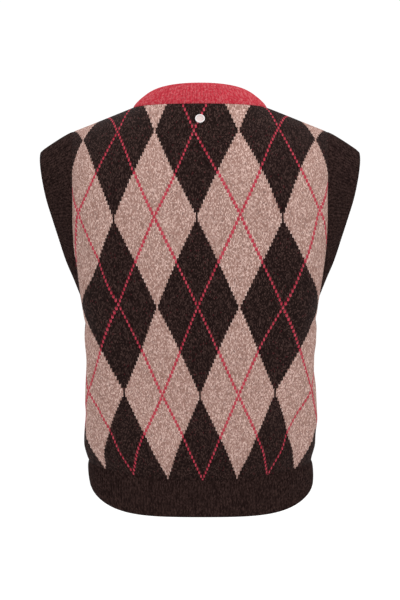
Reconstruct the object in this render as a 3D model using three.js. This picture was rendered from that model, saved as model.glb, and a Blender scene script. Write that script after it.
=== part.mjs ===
// Knitted sweater vest in its worn form, with nobody in it: two argyle panels, a ribbed V neckband,
// two wide ribbed armbands, a ribbed hem in two halves and a small round badge at the back neck.
// Millimetres, +Z up. The front faces -Y and the wearer's left side is +X.
// The origin lies midway between the two high shoulder points, where the wearer's shoulders hold it.
import * as THREE from 'three';

// Cloth
const WALL = 2.4;
const SEAM_GAP = 0.3;
const RIB_RISE = 1.1;

// Flat cut of a panel, measured across from its centre line and up from its hem rib
const CHEST_HALF = 261;
const SHOULDER_HALF = 195;
const NECK_HALF = 95;
const PANEL_LENGTH = 565;
const UNDERARM = 260;
const ARMHOLE_CURVE = 140;
const YOKE = 381;
const BACK_NECK_DROP = 18;
const BACK_NECK_EASE = 8;
const V_POINT = UNDERARM + ARMHOLE_CURVE * (1 - Math.cos(Math.PI / 4));

// Shoulder line of the worn vest: high shoulder point, tip, and the ridge line across the neck opening
const HIGH_POINT = { x: 99, y: 5, z: 4 };
const SHOULDER_TIP = { x: 188, y: 0, z: -31 };
const RIDGE_AT_NECK = {
  back: { deeper: 62, higher: 12, steep: 0.9 },
  front: { deeper: -40, higher: -15, steep: 0.8 },
};
const RIDGE_TILT = 0.12;

// Bands
const NECKBAND_WIDTH = 33.5;
const NECK_LEAN = { highPoint: 0.78, centreBack: 0.33 };
const NECKBAND_BULGE = 1.5;
const ARMBAND_BULGE = 0.8;
const HEM_BULGE = 1.5;
const RIBS = { neckband: 188, armband: 112, hemHalf: 106 };
const BACK_NECK_RIB_SPREAD = 0.85;
const RIB_FADE = 12;

// Height of the centre line for flat heights up the panel
const HEIGHTS = [
  { v: 0, z: -533 },
  { v: 127, z: -415 },
  { v: 254, z: -287 },
  { v: YOKE, z: -163 },
];

// Sections of the worn body: half width, depth behind and in front of the side seams, squareness
const BODY = [
  { z: -533, halfWidth: 162, back: 105, front: 104, square: 2.35 },
  { z: -514, halfWidth: 164, back: 111, front: 109, square: 2.45 },
  { z: -488, halfWidth: 170, back: 117, front: 115, square: 2.6 },
  { z: -415, halfWidth: 165.5, back: 117, front: 117, square: 3 },
  { z: -350, halfWidth: 162.5, back: 118, front: 119, square: 3.4 },
  { z: -290, halfWidth: 171, back: 120, front: 123, square: 3.8 },
  { z: -250, halfWidth: 177.5, back: 120, front: 125, square: 4 },
  { z: -200, halfWidth: 185.5, back: 119, front: 124, square: 4 },
  { z: -140, halfWidth: 190, back: 117, front: 119, square: 4 },
];

// Lower edge of the hem rib: it rises towards the side seams and hangs a little to the wearer's right
const HEM = {
  z: -583,
  halfWidth: 162.5,
  back: 116,
  front: 114,
  square: 2.3,
  sideRise: 31,
  riseCurve: 2,
  drift: -2.5,
};
const RIB_SEAM_RISE = 18;

// Free edge of an armband, from the underarm up behind to the shoulder; the front half mirrors it
const ARMBAND_EDGE = [
  { x: 183, y: 0, z: -247 },
  { x: 187.5, y: 21, z: -239 },
  { x: 196, y: 34, z: -220 },
  { x: 205.5, y: 41, z: -190 },
  { x: 214.5, y: 44, z: -162 },
  { x: 223.5, y: 43, z: -133 },
  { x: 230.5, y: 37, z: -102 },
  { x: 235, y: 22, z: -76 },
  { x: 236, y: 0, z: -62 },
];

// Soft folds of the worn cloth, in flat places on a panel: one end, the other end, width and depth
const FOLDS = {
  back: [
    { fromU: 224, fromV: 205, toU: 206, toV: 110, width: 22, depth: 4 },
    { fromU: -222, fromV: 212, toU: -214, toV: 80, width: 24, depth: 5 },
    { fromU: 178, fromV: 350, toU: 150, toV: 270, width: 20, depth: -3 },
    { fromU: -176, fromV: 345, toU: -138, toV: 255, width: 22, depth: -3 },
    { fromU: 70, fromV: 18, toU: 78, toV: 70, width: 24, depth: 3 },
    { fromU: -96, fromV: 16, toU: -88, toV: 78, width: 26, depth: 3 },
    { fromU: -12, fromV: 20, toU: -8, toV: 62, width: 24, depth: 2.5 },
    { fromU: 150, fromV: 20, toU: 152, toV: 84, width: 24, depth: 3 },
  ],
  front: [
    { fromU: 222, fromV: 208, toU: 202, toV: 100, width: 22, depth: 4 },
    { fromU: -224, fromV: 204, toU: -208, toV: 96, width: 22, depth: 4 },
    { fromU: 172, fromV: 352, toU: 128, toV: 262, width: 22, depth: -3.5 },
    { fromU: -174, fromV: 348, toU: -134, toV: 268, width: 20, depth: -3 },
    { fromU: 62, fromV: 18, toU: 66, toV: 76, width: 26, depth: 3 },
    { fromU: -58, fromV: 18, toU: -66, toV: 66, width: 24, depth: 3 },
    { fromU: 146, fromV: 20, toU: 140, toV: 82, width: 24, depth: 2.5 },
    { fromU: -142, fromV: 18, toU: -146, toV: 90, width: 26, depth: 3 },
  ],
};
const FOLD_FADE = 26;

// Badge at the back neck
const BADGE = { radius: 6.8, thickness: 2.2, rim: 1.3, dish: 0.7, v: 527.5, seat: 0.35 };

// Mesh spacing
const LOWER_ROWS = 13;
const CURVE_ROWS = 8;
const TOP_ROWS = 9;
const NECK_COLUMNS = 6;
const SHOULDER_COLUMNS = 7;
const NECK_COLUMN_SPREAD = THREE.MathUtils.degToRad(75);
const BAND_ROWS = 2;
const ARC_STEPS = 48;

// Colours
const DARK_BROWN = 0x2f201e;
const BAND_BROWN = 0x2a1f1d;
const DUSTY_PINK = 0xb49288;
const COLLAR_RED = 0xc54650;
const BADGE_WHITE = 0xe8dcd6;

const SIDES = { back: 1, front: -1 };
const STEP = 0.5;

function vector(place) {
  return new THREE.Vector3(place.x, place.y, place.z);
}

function mix(a, b, share) {
  return a.clone().lerp(b, share);
}

// Value of one column of a table at a place along it, on a smooth curve through the rows
function fromTable(rows, key, at, column) {
  const last = rows.length - 1;
  let row = 0;
  while (row < last - 1 && at > rows[row + 1][key]) row += 1;
  const [from, to] = [rows[row], rows[row + 1]];
  const span = to[key] - from[key];
  const share = THREE.MathUtils.clamp((at - from[key]) / span, 0, 1);
  const slope = (a, b) => (b[column] - a[column]) / (b[key] - a[key]);
  const before = rows[Math.max(row - 1, 0)];
  const after = rows[Math.min(row + 2, last)];
  const startSlope = slope(before, to) * span;
  const endSlope = slope(from, after) * span;
  const [s2, s3] = [share ** 2, share ** 3];
  return (2 * s3 - 3 * s2 + 1) * from[column] + (s3 - 2 * s2 + share) * startSlope
    + (3 * s2 - 2 * s3) * to[column] + (s3 - s2) * endSlope;
}

function sectionAt(side, z) {
  return {
    halfWidth: fromTable(BODY, 'z', z, 'halfWidth'),
    depth: fromTable(BODY, 'z', z, side),
    square: fromTable(BODY, 'z', z, 'square'),
  };
}

// Place on a section by the share of the cloth's length from the centre line (0) to the side seam (1)
function onSection({ halfWidth, depth, square }, share) {
  const at = (angle) => {
    const [sine, cosine] = [Math.sin(angle), Math.max(Math.cos(angle), 0)];
    const radius = ((sine / halfWidth) ** square + (cosine / depth) ** square) ** (-1 / square);
    return { x: radius * sine, y: radius * cosine };
  };
  const lengths = [0];
  let before = at(0);
  for (let step = 1; step <= ARC_STEPS; step += 1) {
    const point = at((Math.PI / 2) * (step / ARC_STEPS));
    lengths.push(lengths[step - 1] + Math.hypot(point.x - before.x, point.y - before.y));
    before = point;
  }
  const wanted = THREE.MathUtils.clamp(share, 0, 1) * lengths[ARC_STEPS];
  let step = 1;
  while (step < ARC_STEPS && lengths[step] < wanted) step += 1;
  const part = (wanted - lengths[step - 1]) / (lengths[step] - lengths[step - 1]);
  return at((Math.PI / 2) * ((step - 1 + part) / ARC_STEPS));
}

// Body of a panel below the yoke
function bodyPoint(side, u, v) {
  const share = Math.abs(u) / CHEST_HALF;
  const level = fromTable(HEIGHTS, 'v', v, 'z');
  const levelSection = sectionAt(side, level);
  const outward = onSection(levelSection, share).x / levelSection.halfWidth;
  const fade = Math.max(0, 1 - v / HEIGHTS[2].v);
  const z = level + RIB_SEAM_RISE * outward ** 2 * fade ** 1.5;
  const point = onSection(sectionAt(side, z), share);
  return new THREE.Vector3(Math.sign(u) * point.x, SIDES[side] * point.y, z);
}

// Share of the way in from the high shoulder point to the centre line, 0 on the shoulder
function neckShare(u) {
  return Math.max(0, 1 - (u / NECK_HALF) ** 2);
}

function ridgePoint(side, u) {
  const across = Math.abs(u);
  if (across > NECK_HALF) {
    const share = (across - NECK_HALF) / (SHOULDER_HALF - NECK_HALF);
    const point = mix(vector(HIGH_POINT), vector(SHOULDER_TIP), share);
    return new THREE.Vector3(Math.sign(u) * point.x, point.y, point.z);
  }
  const { deeper, higher } = RIDGE_AT_NECK[side];
  const share = neckShare(u);
  const x = HIGH_POINT.x * (u / NECK_HALF);
  return new THREE.Vector3(x, HIGH_POINT.y + deeper * share, HIGH_POINT.z + higher * share);
}

function ridgeHeight(side, u) {
  return PANEL_LENGTH + (side === 'back' ? BACK_NECK_EASE * neckShare(u) : 0);
}

// Way of the cloth from the yoke up and over to the shoulder ridge
const drapes = new Map();
function drape(side, u) {
  const key = `${side} ${u.toFixed(4)}`;
  if (!drapes.has(key)) {
    const chest = bodyPoint(side, u, YOKE);
    const ridge = ridgePoint(side, u);
    const steep = RIDGE_TILT + (RIDGE_AT_NECK[side].steep - RIDGE_TILT) * neckShare(u);
    const arrival = new THREE.Vector3(0, SIDES[side] * Math.sqrt(1 - steep ** 2), -steep);
    const rise = 0.5 * (ridge.z - chest.z);
    const reach = 0.55 * Math.abs(ridge.y - chest.y);
    drapes.set(key, new THREE.CubicBezierCurve3(
      chest,
      new THREE.Vector3(chest.x, chest.y, chest.z + rise),
      ridge.clone().addScaledVector(arrival, reach),
      ridge,
    ));
  }
  return drapes.get(key);
}

// Place of a point of the flat cut on the worn vest, before folds
function smoothPoint(side, u, v) {
  if (v <= YOKE) return bodyPoint(side, u, v);
  const share = (v - YOKE) / (ridgeHeight(side, u) - YOKE);
  return drape(side, u).getPointAt(Math.min(share, 1));
}

function outward(side, u, v) {
  const across = smoothPoint(side, u + STEP, v).sub(smoothPoint(side, u - STEP, v));
  const up = smoothPoint(side, u, v + STEP).sub(smoothPoint(side, u, v - STEP));
  return up.cross(across).multiplyScalar(SIDES[side]).normalize();
}

// How far the folds lift the cloth at a place of the flat cut, none along the seams
function foldLift(side, u, v, halfWidth, top) {
  const edge = Math.min(v, halfWidth - Math.abs(u), top - v);
  const fade = THREE.MathUtils.smoothstep(edge, 0, FOLD_FADE);
  let lift = 0;
  for (const fold of FOLDS[side]) {
    const [du, dv] = [fold.toU - fold.fromU, fold.toV - fold.fromV];
    const along = ((u - fold.fromU) * du + (v - fold.fromV) * dv) / (du ** 2 + dv ** 2);
    const share = THREE.MathUtils.clamp(along, 0, 1);
    const away = Math.hypot(u - fold.fromU - share * du, v - fold.fromV - share * dv);
    lift += fold.depth * Math.exp(-((away / fold.width) ** 2));
  }
  return lift * fade;
}

// Rows of a panel: flat height and half width, straight to the underarm, then round the armhole
function panelRows() {
  const rows = [];
  for (let row = 0; row <= LOWER_ROWS; row += 1) {
    rows.push({ v: (UNDERARM * row) / LOWER_ROWS, halfWidth: CHEST_HALF });
  }
  for (let row = 1; row <= CURVE_ROWS; row += 1) {
    const angle = ((Math.PI / 2) * row) / CURVE_ROWS;
    rows.push({
      v: UNDERARM + ARMHOLE_CURVE * (1 - Math.cos(angle)),
      halfWidth: CHEST_HALF - (CHEST_HALF - SHOULDER_HALF) * Math.sin(angle),
    });
  }
  const straight = UNDERARM + ARMHOLE_CURVE;
  for (let row = 1; row <= TOP_ROWS; row += 1) {
    rows.push({ v: straight + ((PANEL_LENGTH - straight) * row) / TOP_ROWS, halfWidth: SHOULDER_HALF });
  }
  return rows;
}
const ROWS = panelRows();
const UNDERARM_ROW = LOWER_ROWS;
const V_ROW = LOWER_ROWS + CURVE_ROWS / 2;
const TOP_ROW = ROWS.length - 1;

// Columns of the back panel as shares of its half width, with one through each high shoulder point
function backColumns() {
  const half = [];
  for (let column = 0; column <= NECK_COLUMNS; column += 1) {
    const turn = Math.sin((NECK_COLUMN_SPREAD * column) / NECK_COLUMNS) / Math.sin(NECK_COLUMN_SPREAD);
    half.push((NECK_HALF * turn) / SHOULDER_HALF);
  }
  const neck = NECK_HALF / SHOULDER_HALF;
  for (let column = 1; column <= SHOULDER_COLUMNS; column += 1) {
    half.push(neck + ((1 - neck) * column) / SHOULDER_COLUMNS);
  }
  const otherHalf = half.slice(1).reverse().map((share) => -share);
  return [...otherHalf, ...half];
}

function backTop(u) {
  if (Math.abs(u) >= NECK_HALF) return PANEL_LENGTH;
  return ridgeHeight('back', u) - BACK_NECK_DROP * Math.sqrt(neckShare(u));
}

function backFlat(row, share) {
  const top = backTop(share * SHOULDER_HALF);
  const { v, halfWidth } = ROWS[row];
  const height = v <= YOKE ? v : YOKE + ((v - YOKE) * (top - YOKE)) / (PANEL_LENGTH - YOKE);
  return { u: share * halfWidth, v: height, halfWidth, top };
}

// Flat place on one half of the front panel, whose inner edge is the centre line and then the V
function frontFlat(row, share, hand) {
  const { v, halfWidth } = ROWS[row];
  const inner = NECK_HALF * Math.max(0, (v - V_POINT) / (PANEL_LENGTH - V_POINT));
  return { u: hand * (inner + (halfWidth - inner) * share), v, halfWidth, top: PANEL_LENGTH };
}

// Frame of a seam at each of its knots: the point, the way out of the cloth and the way off the panel
function seamFrames(knots, closed) {
  const last = knots.length - 1;
  return knots.map((knot, index) => {
    const before = knots[closed ? (index + last) % (last + 1) : Math.max(index - 1, 0)].point;
    const after = knots[closed ? (index + 1) % (last + 1) : Math.min(index + 1, last)].point;
    const along = after.clone().sub(before).normalize();
    const square = (direction) => direction.clone().addScaledVector(along, -direction.dot(along)).normalize();
    const panelWay = square(along.clone().cross(knot.out));
    if (panelWay.dot(knot.hint) < 0) panelWay.negate();
    const bandWay = square(knot.bandWay(panelWay));
    const away = panelWay.clone().add(bandWay).normalize();
    const turned = (way) => {
      const out = along.clone().cross(way);
      return out.dot(knot.out) < 0 ? out.negate() : out;
    };
    return { ...knot, along, bandWay, away, out: turned(away), bandOut: turned(bandWay) };
  });
}

// Neck seam: from the V point up the wearer's left, round behind and down the right
function neckSeam() {
  const knots = [];
  const front = (row, hand) => {
    const { u, v } = frontFlat(row, 0, hand);
    const point = smoothPoint('front', u, v);
    const inside = smoothPoint('front', u - hand * STEP, v).sub(smoothPoint('front', u + hand * STEP, v));
    const stand = THREE.MathUtils.smoothstep(v, 0.75 * PANEL_LENGTH, PANEL_LENGTH);
    const upright = neckLean(hand);
    knots.push({
      point,
      out: outward('front', u, v),
      hint: inside,
      bandWay: (panelWay) => mix(panelWay, upright, stand),
      spread: 1,
    });
  };
  for (let row = V_ROW; row <= TOP_ROW; row += 1) front(row, 1);
  for (let column = NECK_COLUMNS - 1; column > -NECK_COLUMNS; column -= 1) {
    const share = COLUMNS[COLUMNS.length - 1 - (NECK_COLUMNS + SHOULDER_COLUMNS - column)];
    const { u, v } = backFlat(TOP_ROW, share);
    knots.push({
      point: smoothPoint('back', u, v),
      out: outward('back', u, v),
      hint: new THREE.Vector3(0, 0, 1),
      bandWay: () => neckLean(u / NECK_HALF),
      spread: BACK_NECK_RIB_SPREAD,
    });
  }
  for (let row = TOP_ROW; row >= V_ROW; row -= 1) front(row, -1);
  return seamFrames(knots, false);
}

// Way that the standing neckband leans, by the share of the way from centre back to the high point
function neckLean(share) {
  const inward = -NECK_LEAN.highPoint * share;
  const forward = -NECK_LEAN.centreBack * Math.sqrt(Math.max(0, 1 - share ** 2));
  return new THREE.Vector3(inward, forward, Math.sqrt(1 - inward ** 2 - forward ** 2));
}

// Armhole seam: from the underarm up behind to the shoulder tip and down in front
function armholeSeam(hand) {
  const edge = new THREE.CatmullRomCurve3([
    ...ARMBAND_EDGE.map(({ x, y, z }) => new THREE.Vector3(hand * x, y, z)),
    ...ARMBAND_EDGE.slice(1, -1).reverse().map(({ x, y, z }) => new THREE.Vector3(hand * x, -y, z)),
  ], true);
  const rows = [];
  for (let row = UNDERARM_ROW; row <= TOP_ROW; row += 1) rows.push({ side: 'back', row });
  for (let row = TOP_ROW - 1; row > UNDERARM_ROW; row -= 1) rows.push({ side: 'front', row });
  const points = rows.map(({ side, row }) => smoothPoint(side, hand * ROWS[row].halfWidth, ROWS[row].v));
  const lengths = [0];
  for (let index = 1; index <= points.length; index += 1) {
    lengths.push(lengths[index - 1] + points[index % points.length].distanceTo(points[index - 1]));
  }
  const half = lengths[TOP_ROW - UNDERARM_ROW];
  const whole = lengths[points.length];
  const knots = rows.map(({ side, row }, index) => {
    const length = lengths[index];
    const share = length <= half ? (0.5 * length) / half : 1 - (0.5 * (whole - length)) / (whole - half);
    const { v, halfWidth } = ROWS[row];
    const u = hand * (halfWidth - STEP);
    const below = smoothPoint(side, 0.6 * u, v - 60);
    const edgePoint = edge.getPointAt(share);
    return {
      point: points[index],
      out: outward(side, u, Math.min(v, PANEL_LENGTH - STEP)),
      hint: points[index].clone().sub(below),
      edge: edgePoint,
      bandWay: () => edgePoint.clone().sub(points[index]),
      spread: 1,
      side,
      row,
    };
  });
  return seamFrames(knots, true);
}

// Hem seam of one side, from the wearer's right to the left
function hemSeam(side, flats) {
  const knots = flats.map(({ u }) => {
    const point = smoothPoint(side, u, 0);
    const share = Math.abs(u) / CHEST_HALF;
    const section = { halfWidth: HEM.halfWidth, depth: HEM[side], square: HEM.square };
    const place = onSection(section, share);
    const sideways = Math.max(0, 1 - (place.y / section.depth) ** 2);
    const rise = HEM.sideRise * sideways ** HEM.riseCurve;
    const edge = new THREE.Vector3(Math.sign(u) * place.x + HEM.drift, SIDES[side] * place.y, HEM.z + rise);
    return {
      point,
      out: Math.abs(u) > CHEST_HALF - STEP ? new THREE.Vector3(Math.sign(u), 0, 0) : outward(side, u, STEP),
      hint: new THREE.Vector3(0, 0, -1),
      edge,
      bandWay: () => edge.clone().sub(point),
      spread: 1,
    };
  });
  const frames = seamFrames(knots, false);
  for (const frame of [frames[0], frames[frames.length - 1]]) {
    frame.out = new THREE.Vector3(Math.sign(frame.point.x), 0, 0);
    frame.bandOut = frame.out;
    frame.away = new THREE.Vector3(0, 0, -1);
  }
  return frames;
}

const COLUMNS = backColumns();
const FRONT_COLUMNS = NECK_COLUMNS + SHOULDER_COLUMNS;
const NECK_SEAM = neckSeam();
const ARMHOLE_SEAMS = { 1: armholeSeam(1), '-1': armholeSeam(-1) };
const SHOULDER_SLOPE = vector(SHOULDER_TIP).sub(vector(HIGH_POINT));
const SHOULDER_OUT = new THREE.Vector3(-SHOULDER_SLOPE.z, 0, SHOULDER_SLOPE.x).normalize();

function frontRowFlats(row) {
  const flats = [];
  for (let column = -FRONT_COLUMNS; column <= FRONT_COLUMNS; column += 1) {
    flats.push(frontFlat(row, Math.abs(column) / FRONT_COLUMNS, column < 0 ? -1 : 1));
  }
  return flats;
}
const HEM_SEAMS = {
  back: hemSeam('back', COLUMNS.map((share) => backFlat(0, share))),
  front: hemSeam('front', frontRowFlats(0)),
};

function armholeFrame(side, row, hand) {
  const seam = ARMHOLE_SEAMS[hand];
  const top = TOP_ROW - UNDERARM_ROW;
  const index = row - UNDERARM_ROW;
  return seam[side === 'back' ? index : (2 * top - index) % seam.length];
}

// Outer point and inner point of a panel at a flat place, set back from the seams it lies on
function panelVertex(side, flat, seams) {
  const { u, v, halfWidth, top } = flat;
  const point = smoothPoint(side, u, v);
  let out = null;
  for (const seam of seams) {
    point.addScaledVector(seam.away, -0.5 * SEAM_GAP * (seam.mitre ?? 1));
    out = out ?? seam.out;
  }
  out = out ?? outward(side, u, v);
  point.addScaledVector(out, foldLift(side, u, v, halfWidth, top));
  return { outer: point, inner: point.clone().addScaledVector(out, -WALL) };
}

// Plain seams between the two panels
function sideSeam(side, hand) {
  return { away: new THREE.Vector3(0, -SIDES[side], 0), out: new THREE.Vector3(hand, 0, 0) };
}

function shoulderSeam(side, hand) {
  const out = new THREE.Vector3(hand * SHOULDER_OUT.x, 0, SHOULDER_OUT.z);
  return { away: new THREE.Vector3(0, -SIDES[side], 0), out };
}

function edgeSeams(side, row, hand, onOuterEdge) {
  const seams = [];
  if (!onOuterEdge) return seams;
  if (row >= UNDERARM_ROW) seams.push(armholeFrame(side, row, hand));
  if (row <= UNDERARM_ROW) seams.push(sideSeam(side, hand));
  return seams;
}

// Closed wall from vertices with an outer and an inner point, and quads of their numbers,
// each split along its shorter diagonal
function wallGeometry(vertices, quads) {
  const count = vertices.length;
  const faces = [];
  const edges = new Map();
  const across = (from, to) => vertices[from].outer.distanceTo(vertices[to].outer);
  for (const [a, b, c, d] of quads) {
    if (across(a, c) < across(b, d)) faces.push([a, b, c], [a, c, d]);
    else faces.push([a, b, d], [b, c, d]);
    for (const [from, to] of [[a, b], [b, c], [c, d], [d, a]]) {
      if (edges.has(`${to} ${from}`)) edges.delete(`${to} ${from}`);
      else edges.set(`${from} ${to}`, [from, to]);
    }
  }
  const inner = faces.map(([a, b, c]) => [a + count, c + count, b + count]);
  const rim = [...edges.values()].flatMap(([from, to]) => [
    [to, from, from + count],
    [to, from + count, to + count],
  ]);
  const points = [...vertices.map(({ outer }) => outer), ...vertices.map((vertex) => vertex.inner)];
  return closedGeometry(points, [...faces, ...inner, ...rim]);
}

// Geometry of a closed body whose faces all turn the same way, turned to face out
function closedGeometry(points, faces) {
  let volume = 0;
  for (const [a, b, c] of faces) volume += points[a].dot(points[b].clone().cross(points[c]));
  const outwardFaces = volume > 0 ? faces : faces.map(([a, b, c]) => [a, c, b]);
  const geometry = new THREE.BufferGeometry();
  const places = points.flatMap((point) => point.toArray());
  geometry.setAttribute('position', new THREE.Float32BufferAttribute(places, 3));
  geometry.setIndex(outwardFaces.flat());
  geometry.computeVertexNormals();
  return geometry;
}

function backPanel() {
  const width = COLUMNS.length;
  const vertices = [];
  const quads = [];
  for (let row = 0; row <= TOP_ROW; row += 1) {
    COLUMNS.forEach((share, column) => {
      const hand = share < 0 ? -1 : 1;
      const seams = edgeSeams('back', row, hand, Math.abs(share) === 1);
      const neckColumn = column - SHOULDER_COLUMNS;
      const onNeck = neckColumn >= 0 && neckColumn <= 2 * NECK_COLUMNS;
      if (row === 0) seams.unshift(HEM_SEAMS.back[column]);
      if (row === TOP_ROW && onNeck) seams.push(NECK_SEAM[TOP_ROW - V_ROW + 2 * NECK_COLUMNS - neckColumn]);
      const insideNeck = neckColumn > 0 && neckColumn < 2 * NECK_COLUMNS;
      if (row === TOP_ROW && !insideNeck) seams.push(shoulderSeam('back', hand));
      vertices.push(panelVertex('back', backFlat(row, share), seams));
      if (row > 0 && column > 0) {
        const corner = row * width + column;
        quads.push([corner - width - 1, corner - width, corner, corner - 1]);
      }
    });
  }
  return wallGeometry(vertices, quads);
}

// The front is two half grids that share the centre line up to the V point
function frontPanel() {
  const vertices = [];
  const quads = [];
  const numbers = { 1: [], '-1': [] };
  const slope = Math.hypot(NECK_HALF, PANEL_LENGTH - V_POINT) / NECK_HALF;
  for (const hand of [1, -1]) {
    for (let row = 0; row <= TOP_ROW; row += 1) {
      numbers[hand].push([]);
      for (let column = 0; column <= FRONT_COLUMNS; column += 1) {
        if (hand === -1 && column === 0 && row <= V_ROW) {
          numbers[hand][row].push(numbers[1][row][0]);
        } else {
          const seams = edgeSeams('front', row, hand, column === FRONT_COLUMNS);
          const knot = hand === 1 ? row - V_ROW : NECK_SEAM.length - 1 - (row - V_ROW);
          if (row === 0) seams.unshift(HEM_SEAMS.front[FRONT_COLUMNS + hand * column]);
          if (column === 0 && row > V_ROW) seams.push(NECK_SEAM[knot]);
          if (column === 0 && row === V_ROW) {
            const out = outward('front', 0, V_POINT);
            seams.push({ away: new THREE.Vector3(0, 0, 1), out, mitre: slope });
          }
          if (row === TOP_ROW) seams.push(shoulderSeam('front', hand));
          numbers[hand][row].push(vertices.length);
          vertices.push(panelVertex('front', frontFlat(row, column / FRONT_COLUMNS, hand), seams));
        }
        if (row > 0 && column > 0) {
          const [low, high] = [numbers[hand][row - 1], numbers[hand][row]];
          const quad = [low[column - 1], low[column], high[column], high[column - 1]];
          quads.push(hand === 1 ? quad : quad.reverse());
        }
      }
    }
  }
  return wallGeometry(vertices, quads);
}

// Seam frame at a length along the seam, straight between its knots
function seamCourse(frames, closed) {
  const knots = closed ? [...frames, frames[0]] : frames;
  const lengths = [0];
  for (let index = 1; index < knots.length; index += 1) {
    const spread = Math.min(knots[index].spread, knots[index - 1].spread);
    lengths.push(lengths[index - 1] + spread * knots[index].point.distanceTo(knots[index - 1].point));
  }
  const total = lengths[lengths.length - 1];
  const shares = lengths.map((length) => length / total);
  const at = (share) => {
    let index = 1;
    while (index < knots.length - 1 && shares[index] < share) index += 1;
    const part = (share - shares[index - 1]) / (shares[index] - shares[index - 1]);
    const [from, to] = [knots[index - 1], knots[index]];
    return {
      point: mix(from.point, to.point, part),
      out: mix(from.out, to.out, part).normalize(),
      bandOut: mix(from.bandOut, to.bandOut, part).normalize(),
      away: mix(from.away, to.away, part).normalize(),
      bandWay: mix(from.bandWay, to.bandWay, part).normalize(),
      edge: from.edge ? mix(from.edge, to.edge, part) : null,
    };
  };
  return { at, shares };
}

// Triangles between two rows of numbered stations that run side by side
function zipRows(rowA, rowB, flipped) {
  const faces = [];
  let [a, b] = [0, 0];
  while (a < rowA.length - 1 || b < rowB.length - 1) {
    const moveA = b === rowB.length - 1
      || (a < rowA.length - 1 && rowA[a + 1].share <= rowB[b + 1].share);
    const face = moveA
      ? [rowA[a + 1].number, rowA[a].number, rowB[b].number]
      : [rowB[b].number, rowB[b + 1].number, rowA[a].number];
    faces.push(flipped ? [face[0], face[2], face[1]] : face);
    if (moveA) a += 1;
    else b += 1;
  }
  return faces;
}

// Ribbed band sewn to a seam: zigzag ribs on the outside, a plain inside
function bandGeometry(band) {
  const { frames, closed, ribs, bulge, edgeOf, from = 0, to = 1, extra = [], trim = null } = band;
  const riseOf = band.riseOf ?? (() => RIB_RISE);
  const course = seamCourse(frames, closed);
  const points = [];
  const station = (share, row, lift) => {
    const frame = course.at(share);
    const start = frame.point.clone().addScaledVector(frame.away, 0.5 * SEAM_GAP);
    const part = row / BAND_ROWS;
    const out = row === 0 ? frame.out : frame.bandOut;
    const point = mix(start, edgeOf(frame, start), part);
    point.addScaledVector(frame.bandOut, 4 * part * (1 - part) * bulge);
    point.addScaledVector(out, lift);
    if (trim) trim(point);
    points.push(point);
    return { share, number: points.length - 1 };
  };
  const outerShares = [];
  for (let column = 0; column <= 2 * ribs; column += 1) {
    const share = from + ((to - from) * column) / (2 * ribs);
    outerShares.push({ share, lift: column % 2 ? riseOf(share) : 0 });
  }
  const innerShares = [from, ...course.shares.filter((share) => share > from && share < to), ...extra, to];
  innerShares.sort((a, b) => a - b);
  const skin = (shares, liftOf) => {
    const rows = [];
    for (let row = 0; row <= BAND_ROWS; row += 1) {
      const used = closed ? shares.slice(0, -1) : shares;
      const stations = used.map((share, index) => station(share, row, liftOf(index)));
      if (closed) stations.push({ share: to, number: stations[0].number });
      rows.push(stations);
    }
    return rows;
  };
  const outer = skin(outerShares.map(({ share }) => share), (index) => outerShares[index].lift);
  const inner = skin(innerShares, () => -WALL);
  const faces = [];
  const cover = (rows, inside) => {
    for (let row = 0; row < BAND_ROWS; row += 1) {
      for (let column = 0; column < rows[row].length - 1; column += 1) {
        const a = rows[row][column].number;
        const b = rows[row][column + 1].number;
        const c = rows[row + 1][column + 1].number;
        const d = rows[row + 1][column].number;
        if (inside) faces.push([a, c, b], [a, d, c]);
        else faces.push([a, b, c], [a, c, d]);
      }
    }
  };
  cover(outer, false);
  cover(inner, true);
  faces.push(...zipRows(outer[0], inner[0], false), ...zipRows(outer[BAND_ROWS], inner[BAND_ROWS], true));
  if (!closed) {
    const end = (rows, at) => rows.map((stations, row) => ({ share: row, number: stations.at(at).number }));
    faces.push(...zipRows(end(outer, 0), end(inner, 0), true));
    faces.push(...zipRows(end(outer, -1), end(inner, -1), false));
  }
  return closedGeometry(points, faces);
}

// The neckband is one strip whose two ends meet in a mitre over the V point
function neckband() {
  const mitre = 0.5 * SEAM_GAP;
  const widthOf = (frame, start) => {
    const onFront = start.y < HIGH_POINT.y - 1;
    if (!onFront) return NECKBAND_WIDTH;
    return Math.min(NECKBAND_WIDTH, (Math.abs(start.x) - mitre) / Math.abs(frame.bandWay.x));
  };
  const edgeOf = (frame, start) => start.clone().addScaledVector(frame.bandWay, widthOf(frame, start));
  const course = seamCourse(NECK_SEAM, false);
  const stripWidth = (share) => {
    const frame = course.at(share);
    return widthOf(frame, frame.point.clone().addScaledVector(frame.away, mitre));
  };
  const firstWidth = 1.2;
  const shareWhere = (test) => {
    let share = 0;
    while (!test(stripWidth(share))) share += 0.0001;
    return share;
  };
  const from = shareWhere((width) => width >= firstWidth);
  const fullWidth = shareWhere((width) => width >= NECKBAND_WIDTH);
  return bandGeometry({
    frames: NECK_SEAM,
    closed: false,
    ribs: RIBS.neckband,
    bulge: NECKBAND_BULGE,
    edgeOf,
    from,
    to: 1 - from,
    extra: [fullWidth, 1 - fullWidth],
    riseOf: (share) => RIB_RISE * THREE.MathUtils.smoothstep(stripWidth(share), firstWidth, RIB_FADE),
  });
}

function armband(hand) {
  return bandGeometry({
    frames: ARMHOLE_SEAMS[hand],
    closed: true,
    ribs: RIBS.armband,
    bulge: ARMBAND_BULGE,
    edgeOf: (frame) => frame.edge,
  });
}

function hemRib(side) {
  const halfGap = 0.5 * SEAM_GAP;
  return bandGeometry({
    frames: HEM_SEAMS[side],
    closed: false,
    ribs: RIBS.hemHalf,
    bulge: HEM_BULGE,
    edgeOf: (frame) => frame.edge,
    trim: (point) => {
      if (SIDES[side] * point.y < halfGap) point.y = SIDES[side] * halfGap;
    },
  });
}

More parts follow.
